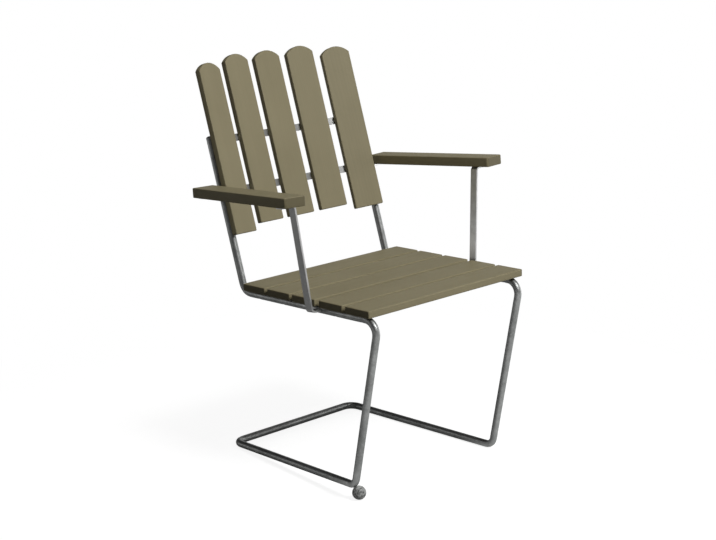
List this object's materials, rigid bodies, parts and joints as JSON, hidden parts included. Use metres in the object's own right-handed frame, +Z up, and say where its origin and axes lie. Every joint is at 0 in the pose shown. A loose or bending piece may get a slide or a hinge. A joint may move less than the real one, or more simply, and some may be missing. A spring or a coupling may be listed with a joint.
{
  "type": "slatted cantilever garden armchair",
  "caption": "Garden armchair with wooden seat and back slats and plank armrests on one bent round steel rod, without rear legs.",
  "frame": {"origin": "on the floor, under the middle of the chair's outline", "axes": "+Z up; the sitter faces -Y; +X is the sitter's left"},
  "size_m": [0.6522, 0.5892, 0.87],
  "materials": {
    "painted_wood": "matt olive-beige paint or stain over planed softwood, faint lengthwise grain",
    "galvanised_steel": "hot-dip galvanised, dull grey with brighter bends",
    "zinc_screw": "zinc plated, dull",
    "grey_plastic": "scuffed grey plastic"
  },
  "bodies": {
    "root": {"arm_bracket_left": "galvanised_steel", "arm_bracket_right": "galvanised_steel", "arm_screw_bracket_left_1": "zinc_screw", "arm_screw_bracket_left_2": "zinc_screw", "arm_screw_bracket_right_1": "zinc_screw", "arm_screw_bracket_right_2": "zinc_screw", "arm_screw_support_left_1": "zinc_screw", "arm_screw_support_left_2": "zinc_screw", "arm_screw_support_right_1": "zinc_screw", "arm_screw_support_right_2": "zinc_screw", "arm_support_left": "galvanised_steel", "arm_support_right": "galvanised_steel", "armrest_left": "painted_wood", "armrest_right": "painted_wood", "back_rail_lower": "galvanised_steel", "back_rail_upper": "galvanised_steel", "back_screw_lower_1": "zinc_screw", "back_screw_lower_2": "zinc_screw", "back_screw_lower_3": "zinc_screw", "back_screw_lower_4": "zinc_screw", "back_screw_lower_5": "zinc_screw", "back_screw_upper_1": "zinc_screw", "back_screw_upper_2": "zinc_screw", "back_screw_upper_3": "zinc_screw", "back_screw_upper_4": "zinc_screw", "back_screw_upper_5": "zinc_screw", "back_slat_1": "painted_wood", "back_slat_2": "painted_wood", "back_slat_3": "painted_wood", "back_slat_4": "painted_wood", "back_slat_5": "painted_wood", "ball_foot_right": "grey_plastic", "frame_rod": "galvanised_steel", "seat_screw_left_1": "zinc_screw", "seat_screw_left_2": "zinc_screw", "seat_screw_left_3": "zinc_screw", "seat_screw_left_4": "zinc_screw", "seat_screw_left_5": "zinc_screw", "seat_screw_right_1": "zinc_screw", "seat_screw_right_2": "zinc_screw", "seat_screw_right_3": "zinc_screw", "seat_screw_right_4": "zinc_screw", "seat_screw_right_5": "zinc_screw", "seat_slat_1": "painted_wood", "seat_slat_2": "painted_wood", "seat_slat_3": "painted_wood", "seat_slat_4": "painted_wood", "seat_slat_5": "painted_wood"}
  },
  "joints": []
}
